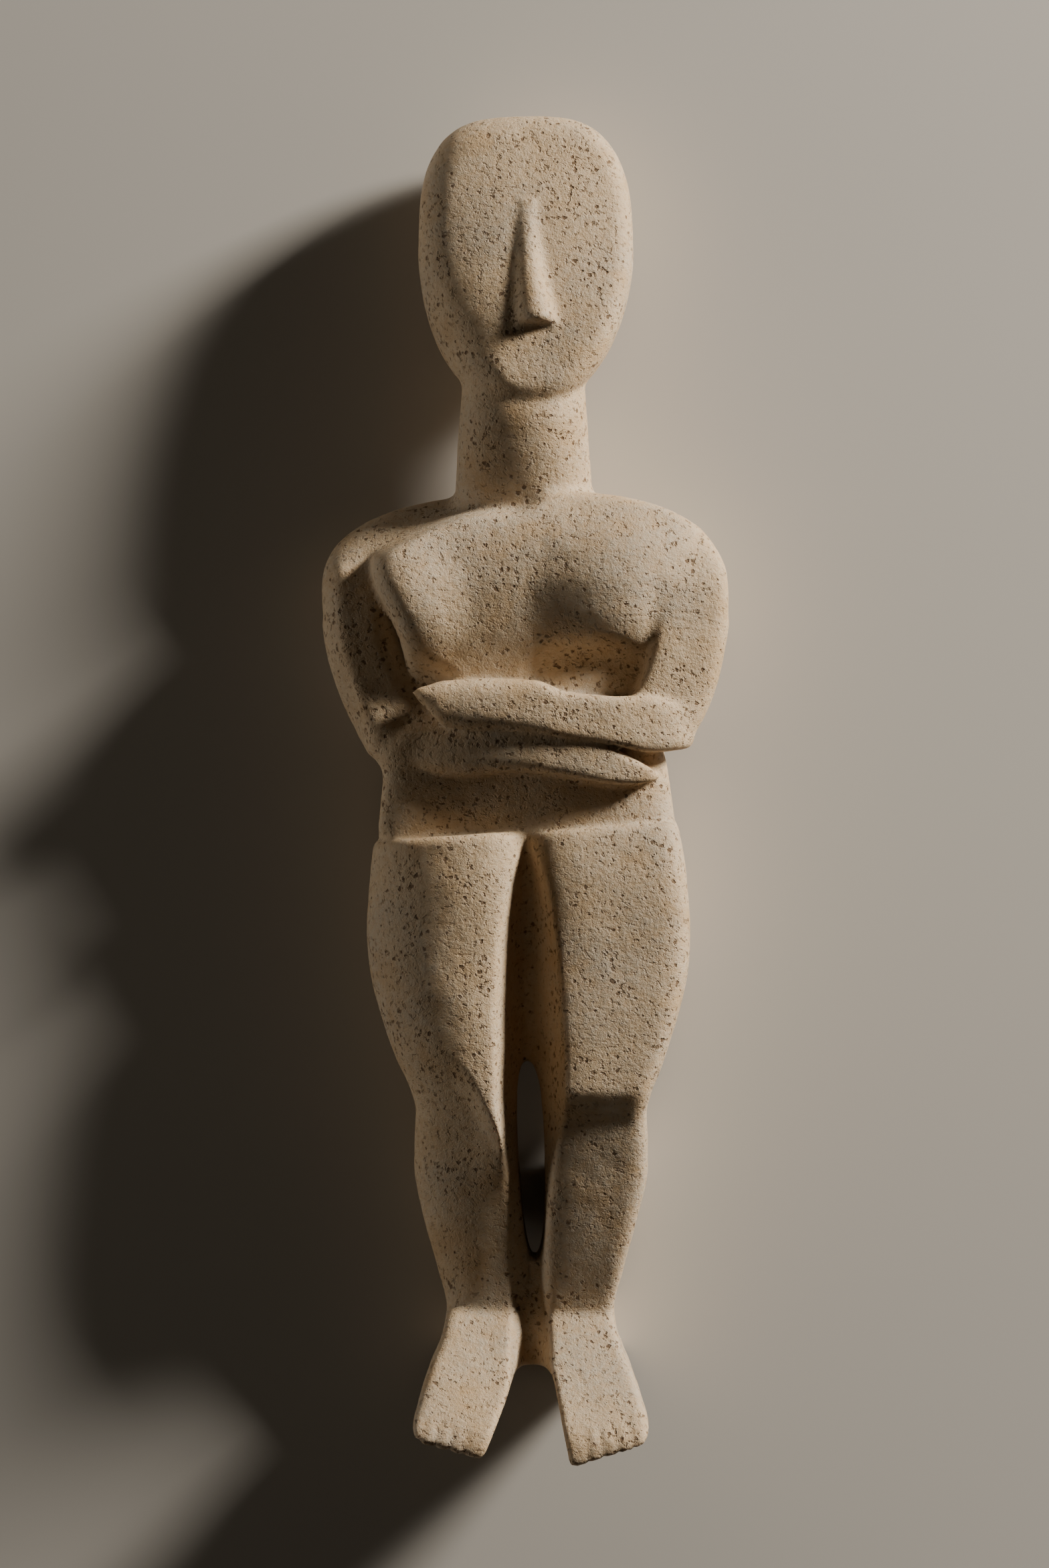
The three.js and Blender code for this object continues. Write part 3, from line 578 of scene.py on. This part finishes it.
@dataclass(frozen=True)
class Toes:
    """Short strokes cut into the front of each foot."""

    gap: float = 4.3
    first: float = 18.2
    count: int = 4
    half_width: float = 0.55
    length: float = 6.5
    depth: float = 0.55

    def cut(self, points: Array) -> Array:
        """Returns the depth of the strokes at each point, in mm."""
        u, h = points[:, 0], points[:, 1]
        total = np.zeros(len(points))
        for side in Side:
            for i in range(self.count):
                across = self.first + i * self.gap
                slant = 0.16 + 0.05 * i
                end = 2.4 + 0.27 * (across - 15)
                line = np.abs(side.value * u - across - slant * (end - h))
                along = ramp(end + self.length, end + self.length * 0.6, h)
                total = np.maximum(total, np.exp(-((line / self.half_width) ** 2)) * along)
        return total * self.depth * (points[:, 2] > 35)


@dataclass(frozen=True)
class Figure:
    """The whole carved figure."""

    lean: Run = run(
        (0, 1.35), (60, 1.4), (100, 1.3), (160, 0.3), (205, 0.1), (250, -0.5), (310, -0.9), (360, -0.2),
        (400, -0.6),
    )
    head: Head = Head()
    neck: Neck = Neck()
    trunk: Trunk = Trunk()
    arms: Arms = Arms()
    forearms: tuple[Forearm, Forearm] = (RIGHT_FOREARM, LEFT_FOREARM)
    legs: Legs = Legs()
    toes: Toes = Toes()
    weather: Weather = Weather()

    def field(self, across: Array, h: Array, d: Array) -> Array:
        """Distance to the stone.

        Args:
            across: place across the figure.
            h: height from the toes.
            d: depth from the plane that it lies on.

        Returns:
            The distance, negative inside the stone. The plane d = 0 trims flat resting spots.
        """
        u = across - self.lean(h)
        fillet = 1.5 + 1.5 * ramp(-12, 12, u) + 3.0 * (1 - ramp(16, 24, d)) + 4.0 * ramp(262, 276, h)
        outline = self.arms.outline(u, h)
        body = join(self.trunk.core(u, h, d, outline), self.arms.field(u, h, d, outline), fillet)
        trim = outline - 30.0 * (1 - ramp(225, 250, h))
        body = keep(body, trim, 2.0)
        body = join(body, self.neck.field(u, h, d), 4.0)
        body = join(body, self.head.field(u, h, d), 1.5)
        crook = 1.2 + 5.0 * ramp(30, 42, -u) + 2.0 * ramp(42, 50, u)
        for forearm in self.forearms:
            body = join(body, forearm.field(u, h, d), crook)
        body = join(body, self.legs.field(u, h, d), 1.2)
        body = keep(body, -self.legs.feet.arch(u, h), 1.5)
        return np.maximum(body, -d)

    def finish(self, points: Array, normals: Array) -> Array:
        """Weathers the surface and cuts the toes.

        Args:
            points: places on the surface, one row each.
            normals: the direction out of the stone at each.

        Returns:
            The places after weathering. The resting spots stay flat.
        """
        out = self.weather.relief(points) - self.toes.cut(points)
        free = ramp(0.0, 1.2, points[:, 2])
        moved = points + normals * (out * free)[:, None]
        moved[:, 2] = np.maximum(moved[:, 2], 0.0)
        return moved


# ------------------------------------------------------------------ from the field to a mesh


@dataclass
class Carver:
    """Turns the figure's field into one closed mesh: a vertex in each cell that the surface crosses."""

    figure: Figure
    cell: tuple[float, float, float] = (1.12, 1.12, 1.5)
    low: tuple[float, float, float] = (-65.0, -4.0, -2.9)
    high: tuple[float, float, float] = (65.0, 404.0, 59.0)

    def axes(self) -> list[Array]:
        """Returns the sample places along each axis."""
        return [np.arange(a, b + c, c) for a, b, c in zip(self.low, self.high, self.cell)]

    def untangle(self, value: Array) -> None:
        """Where stone and air meet corner to corner, gives the weaker corner to the other, in place."""
        for _ in range(12):
            changes = 0
            for axis in range(3):
                s, t = (axis + 1) % 3, (axis + 2) % 3

                def part(ds: int, dt: int) -> Array:
                    """Returns the samples shifted by one along each of the two directions."""
                    cut = [slice(None)] * 3
                    cut[s] = slice(ds, value.shape[s] - 1 + ds)
                    cut[t] = slice(dt, value.shape[t] - 1 + dt)
                    return value[tuple(cut)]

                p, q, r, w = part(0, 0) < 0, part(1, 0) < 0, part(0, 1) < 0, part(1, 1) < 0
                for place in np.argwhere((p == w) & (q == r) & (p != q)):
                    corners = []
                    for ds, dt in ((0, 0), (1, 0), (0, 1), (1, 1)):
                        c = place.copy()
                        c[s] += ds
                        c[t] += dt
                        corners.append(tuple(c))
                    weak = min(corners, key=lambda c: abs(value[c]))
                    value[weak] = -value[weak]
                    changes += 1
            if not changes:
                return

    def gradient(self, points: Array, value: Array) -> Array:
        """Returns the field's slope at each point, given its value there."""
        tiny = 0.04
        slope = np.empty_like(points)
        for axis in range(3):
            moved = points.copy()
            moved[:, axis] += tiny
            slope[:, axis] = (self.figure.field(*moved.T) - value) / tiny
        return slope

    def carve(self) -> tuple[Array, Array]:
        """Finds the surface.

        Returns:
            The points in mm, and the quads as rows of four point numbers.
        """
        xs, ys, zs = self.axes()
        value = np.array(self.figure.field(xs[:, None, None], ys[None, :, None], zs[None, None, :]))
        self.untangle(value)
        inside = value < 0
        shape = tuple(n - 1 for n in value.shape)
        count = np.zeros(shape, np.int32)
        total = np.zeros(shape + (3,))
        for axis in range(3):
            s, t = (axis + 1) % 3, (axis + 2) % 3
            lower = [slice(None)] * 3
            upper = [slice(None)] * 3
            lower[axis], upper[axis] = slice(0, -1), slice(1, None)
            a, b = value[tuple(lower)], value[tuple(upper)]
            cut = (a < 0) != (b < 0)
            share = np.where(cut, a / np.where(cut, a - b, 1.0), 0.0)
            for ds in (0, 1):
                for dt in (0, 1):
                    window = [slice(None)] * 3
                    window[s] = slice(ds, cut.shape[s] - 1 + ds)
                    window[t] = slice(dt, cut.shape[t] - 1 + dt)
                    here = cut[tuple(window)]
                    count += here
                    total[..., axis] += share[tuple(window)]
                    total[..., s] += here * ds
                    total[..., t] += here * dt
        active = count > 0
        number = np.full(shape, -1, np.int64)
        number[active] = np.arange(active.sum())
        corner = np.argwhere(active)
        points = np.array(self.low) + (corner + total[active] / count[active][:, None]) * np.array(self.cell)
        quads = []
        for axis in range(3):
            s, t = (axis + 1) % 3, (axis + 2) % 3
            core = [slice(1, -1)] * 3
            ahead = [slice(1, -1)] * 3
            core[axis] = slice(0, -1)
            ahead[axis] = slice(1, None)
            a, b = inside[tuple(core)], inside[tuple(ahead)]
            for solid_first in (True, False):
                edge = np.argwhere(a & ~b if solid_first else b & ~a)
                edge[:, s] += 1
                edge[:, t] += 1
                back_s, back_t = np.zeros(3, int), np.zeros(3, int)
                back_s[s], back_t[t] = 1, 1
                ring = [edge - back_s - back_t, edge - back_t, edge, edge - back_s]
                quad = np.stack([number[tuple(c.T)] for c in ring], axis=1)
                quads.append(quad if solid_first else quad[:, ::-1])
        return self.settle(points), np.concatenate(quads)

    def settle(self, points: Array) -> Array:
        """Moves each point onto the surface and gives it the figure's weathering.

        Args:
            points: places near the surface.

        Returns:
            The finished places.
        """
        start = points.copy()
        reach = 0.6 * np.array(self.cell)
        for _ in range(3):
            value = self.figure.field(*points.T)
            slope = self.gradient(points, value)
            size = np.maximum((slope**2).sum(axis=1), 0.04)
            points = points - slope * (value / size)[:, None]
            points = np.clip(points, start - reach, start + reach)
        value = self.figure.field(*points.T)
        normal = self.gradient(points, value)
        normal /= np.maximum(np.linalg.norm(normal, axis=1), 1e-6)[:, None]
        points[:, 2] = np.where(np.abs(points[:, 2]) < 0.05, 0.0, points[:, 2])
        return self.figure.finish(points, normal)

    def place(self, points: Array) -> Array:
        """Returns the points in metres, centred on the CAD part's box and resting on its lowest plane."""
        low, high = (np.array(corner) for corner in CAD_BOX)
        least, most = points.min(axis=0), points.max(axis=0)
        fit = np.minimum(MM, (high - low) / (most - least))
        moved = (points - (least + most) / 2) * fit + (low + high) / 2
        moved[:, 2] = points[:, 2] * fit[2] + low[2]
        return moved

    def build(self) -> bpy.types.Object:
        """Returns the finished figure as an object."""
        points, quads = self.carve()
        mesh = bpy.data.meshes.new("carved_figure")
        mesh.from_pydata(self.place(points).tolist(), [], quads.tolist())
        mesh.validate()
        mesh.polygons.foreach_set("use_smooth", [True] * len(mesh.polygons))
        mesh.update()
        piece = bpy.data.objects.new("carved_figure", mesh)
        bpy.context.scene.collection.objects.link(piece)
        log.info("carved %d points and %d faces", len(points), len(quads))
        return piece


# ------------------------------------------------------------------ shader expressions

Value = Union["Sock", float, int, tuple]


@dataclass(frozen=True)
class Sock:
    """An output socket that adds Math nodes when it is used in an expression."""

    tree: "Shader"
    socket: bpy.types.NodeSocket

    def math(self, operation: str, *values: Value) -> "Sock":
        """Returns the result of a Math node on the given values."""
        return self.tree.node("ShaderNodeMath", {"operation": operation}, dict(enumerate(values)))

    def __add__(self, other: Value) -> "Sock":
        """Returns self + other."""
        return self.math("ADD", self, other)

    __radd__ = __add__

    def __mul__(self, other: Value) -> "Sock":
        """Returns self * other."""
        return self.math("MULTIPLY", self, other)

    __rmul__ = __mul__

    def __sub__(self, other: Value) -> "Sock":
        """Returns self - other."""
        return self.math("SUBTRACT", self, other)

    def __rsub__(self, other: Value) -> "Sock":
        """Returns other - self."""
        return self.math("SUBTRACT", other, self)

    def step(self, low: float, high: float) -> "Sock":
        """Returns a smooth step of self from 0 at low to 1 at high."""
        settings = {"interpolation_type": "SMOOTHSTEP"}
        values = {"Value": self, "From Min": low, "From Max": high}
        return self.tree.node("ShaderNodeMapRange", settings, values)


@dataclass
class Shader:
    """A material's node tree, with one method that makes any node."""

    name: str
    material: bpy.types.Material = field(init=False)
    surface: bpy.types.Node = field(init=False)

    def __post_init__(self) -> None:
        """Makes the material with only its surface shader and output."""
        self.material = bpy.data.materials.new(self.name)
        self.material.use_nodes = True
        nodes = self.material.node_tree.nodes
        nodes.clear()
        self.surface = nodes.new("ShaderNodeBsdfPrincipled")
        out = nodes.new("ShaderNodeOutputMaterial")
        self.material.node_tree.links.new(self.surface.outputs["BSDF"], out.inputs["Surface"])

    def node(self, kind: str, settings: dict, values: dict, output: Union[str, int] = 0) -> Sock:
        """Makes a node.

        Args:
            kind: Blender's node type.
            settings: what is set on the node itself.
            values: number or link for each input, by name or by place.
            output: the output wanted.

        Returns:
            That output, ready for use in an expression.
        """
        made = self.material.node_tree.nodes.new(kind)
        for key, value in settings.items():
            setattr(made, key, value)
        for key, value in values.items():
            self.put(made.inputs[key], value)
        return Sock(self, made.outputs[output])

    def put(self, socket: bpy.types.NodeSocket, value: Value) -> None:
        """Links or sets one input."""
        if isinstance(value, Sock):
            self.material.node_tree.links.new(value.socket, socket)
        elif isinstance(value, tuple) and len(value) == 3 and socket.type == "RGBA":
            socket.default_value = (*value, 1.0)
        else:
            socket.default_value = value

    def mix(self, share: Value, a: Value, b: Value) -> Sock:
        """Returns colour a turned into colour b by the share."""
        return self.node("ShaderNodeMix", {"data_type": "RGBA"}, {0: share, 6: a, 7: b}, 2)

    def noise(self, where: Sock, scale: float, detail: float = 3.0, rough: float = 0.55) -> Sock:
        """Returns a noise of the given scale, in cycles per metre."""
        values = {"Vector": where, "Scale": scale, "Detail": detail, "Roughness": rough}
        return self.node("ShaderNodeTexNoise", {}, values)

    def cells(self, where: Sock, scale: float, spread: float = 1.0) -> Sock:
        """Returns the distance to scattered points, so many to the metre."""
        values = {"Vector": where, "Scale": scale, "Randomness": spread}
        return self.node("ShaderNodeTexVoronoi", {"feature": "F1"}, values)


@dataclass(frozen=True)
class Marble:
    """Weathered cream marble with brown specks."""

    pale: tuple[float, float, float] = (0.66, 0.52, 0.36)
    grey: tuple[float, float, float] = (0.54, 0.46, 0.36)
    warm: tuple[float, float, float] = (0.52, 0.34, 0.17)
    speck: tuple[float, float, float] = (0.12, 0.06, 0.025)
    roughness: float = 0.62
    # how fine each part of the pattern is, in cycles per metre
    broad_scale: float = 22.0
    patch_scale: float = 60.0
    grain_scale: float = 520.0
    fine_scale: float = 1500.0
    blot_scale: float = 640.0
    wander_scale: float = 900.0
    pit_scale: float = 340.0
    cluster_scale: float = 75.0
    bump_strength: float = 0.8
    bump_depth: float = 0.0007

    def build(self) -> bpy.types.Material:
        """Returns the marble as a material."""
        shader = Shader("weathered_marble")
        where = shader.node("ShaderNodeTexCoord", {}, {}, "Object")
        broad = shader.noise(where, self.broad_scale, 4.0, 0.6)
        patches = shader.noise(where, self.patch_scale, 4.0, 0.6)
        grain = shader.noise(where, self.grain_scale, 4.0, 0.7)
        fine = shader.noise(where, self.fine_scale, 3.0, 0.7)
        blots = shader.noise(where, self.blot_scale, 2.0, 0.6)
        ground = shader.mix(broad.step(0.40, 0.66), self.pale, self.grey)
        ground = shader.mix(patches.step(0.48, 0.72) * 0.55, ground, self.warm)
        tone = grain.step(0.34, 0.66)
        ground = shader.mix((1 - tone) * 0.45, ground, self.warm)
        wander = shader.noise(where, self.wander_scale, 2.0)
        pits = shader.cells(where, self.pit_scale)
        thick = shader.noise(where, self.cluster_scale, 2.0).step(0.35, 0.65)
        size = 0.10 + thick * 0.16 + (wander - 0.5) * 0.9
        dark = (size - pits).step(-0.04, 0.16)
        dots = blots.step(0.56, 0.70)
        specks = dark.math("MAXIMUM", dark, dots * (0.35 + thick * 0.4))
        colour = shader.mix(specks * 0.8, ground, self.speck)
        shader.put(shader.surface.inputs["Base Color"], colour)
        rough = self.roughness + (tone - 0.5) * 0.12 + specks * 0.15
        shader.put(shader.surface.inputs["Roughness"], rough)
        height = grain * 0.8 + fine * 0.35 - specks * 0.7
        values = {"Height": height, "Strength": self.bump_strength, "Distance": self.bump_depth}
        shader.put(shader.surface.inputs["Normal"], shader.node("ShaderNodeBump", {}, values))
        shader.surface.inputs["Specular IOR Level"].default_value = 0.35
        shader.surface.inputs["Subsurface Weight"].default_value = 0.12
        shader.surface.inputs["Subsurface Radius"].default_value = (1.0, 0.55, 0.28)
        shader.surface.inputs["Subsurface Scale"].default_value = 0.003
        return shader.material


# ------------------------------------------------------------------ studio


@dataclass(frozen=True)
class Lamp:
    """A soft area light that looks at a point of the figure."""

    name: str
    place: tuple[float, float, float]
    target: tuple[float, float, float]
    size: tuple[float, float]
    power: float
    colour: tuple[float, float, float] = (1.0, 1.0, 1.0)

    def build(self) -> bpy.types.Object:
        """Returns the lamp, placed and aimed."""
        data = bpy.data.lights.new(self.name, "AREA")
        data.shape = "RECTANGLE"
        data.size, data.size_y = self.size
        data.energy = self.power
        data.color = self.colour
        lamp = bpy.data.objects.new(self.name, data)
        lamp.location = self.place
        aim = Vector(self.target) - Vector(self.place)
        lamp.rotation_euler = aim.to_track_quat("-Z", "Y").to_euler()
        bpy.context.scene.collection.objects.link(lamp)
        return lamp


@dataclass(frozen=True)
class Studio:
    """Floor, lamps, surrounding light and the camera that looks down on the figure."""

    frame_over_figure: float = 1.1553
    sharp_height: float = 0.045
    lens: float = 110.0
    film: float = 36.0
    floor_half: float = 4.0
    floor_colour: tuple[float, float, float] = (0.62, 0.60, 0.57)
    floor_roughness: float = 0.9
    air_colour: tuple[float, float, float] = (1.0, 0.84, 0.62)
    air_strength: float = 0.02
    lamps: tuple[Lamp, ...] = (
        Lamp("key", (1.58, 1.10, 0.53), (0.0, 0.0, 0.03), (0.40, 0.40), 86.0, (1.0, 0.92, 0.80)),
        Lamp("rim", (-1.4, -0.04, 0.10), (0.0, 0.0, 0.03), (0.9, 0.08), 4.0, (1.0, 0.92, 0.80)),
    )

    def floor(self) -> bpy.types.Object:
        """Returns the plain pale floor."""
        half = self.floor_half
        mesh = bpy.data.meshes.new("floor")
        z = CAD_BOX[0][2]
        corners = [(-half, -half, z), (half, -half, z), (half, half, z), (-half, half, z)]
        mesh.from_pydata(corners, [], [(0, 1, 2, 3)])
        floor = bpy.data.objects.new("floor", mesh)
        bpy.context.scene.collection.objects.link(floor)
        shader = Shader("pale_floor")
        shader.surface.inputs["Base Color"].default_value = (*self.floor_colour, 1.0)
        shader.surface.inputs["Roughness"].default_value = self.floor_roughness
        mesh.materials.append(shader.material)
        return floor

    def surroundings(self) -> None:
        """Sets the weak even light all round."""
        world = bpy.data.worlds.new("studio")
        world.use_nodes = True
        back = world.node_tree.nodes["Background"]
        back.inputs["Color"].default_value = (*self.air_colour, 1.0)
        back.inputs["Strength"].default_value = self.air_strength
        bpy.context.scene.world = world

    def camera(self) -> bpy.types.Object:
        """Returns the camera, square above the figure's front."""
        low, high = (np.array(corner) for corner in CAD_BOX)
        length = high[1] - low[1]
        view = length * self.frame_over_figure
        middle = (low + high) / 2
        data = bpy.data.cameras.new("camera")
        data.sensor_fit = "VERTICAL"
        data.sensor_height = self.film
        data.lens = self.lens
        camera = bpy.data.objects.new("camera", data)
        camera.location = (middle[0], middle[1], low[2] + self.sharp_height + view * self.lens / self.film)
        camera.rotation_euler = (0.0, 0.0, 0.0)
        bpy.context.scene.collection.objects.link(camera)
        bpy.context.scene.camera = camera
        return camera

    def build(self) -> None:
        """Makes the floor, the lamps, the surrounding light and the camera."""
        self.camera()
        self.floor()
        self.surroundings()
        for lamp in self.lamps:
            lamp.build()


def main() -> None:
    """Builds the studio and the figure."""
    logging.basicConfig(level=logging.INFO, format="%(message)s")
    Studio().build()
    piece = Carver(Figure()).build()
    piece.data.materials.append(Marble().build())
    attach(piece, "root")
    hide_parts(NODE)
    log.info("%s rides on root and stands for %s", piece.name, NODE)


if __name__ == "__main__":
    main()
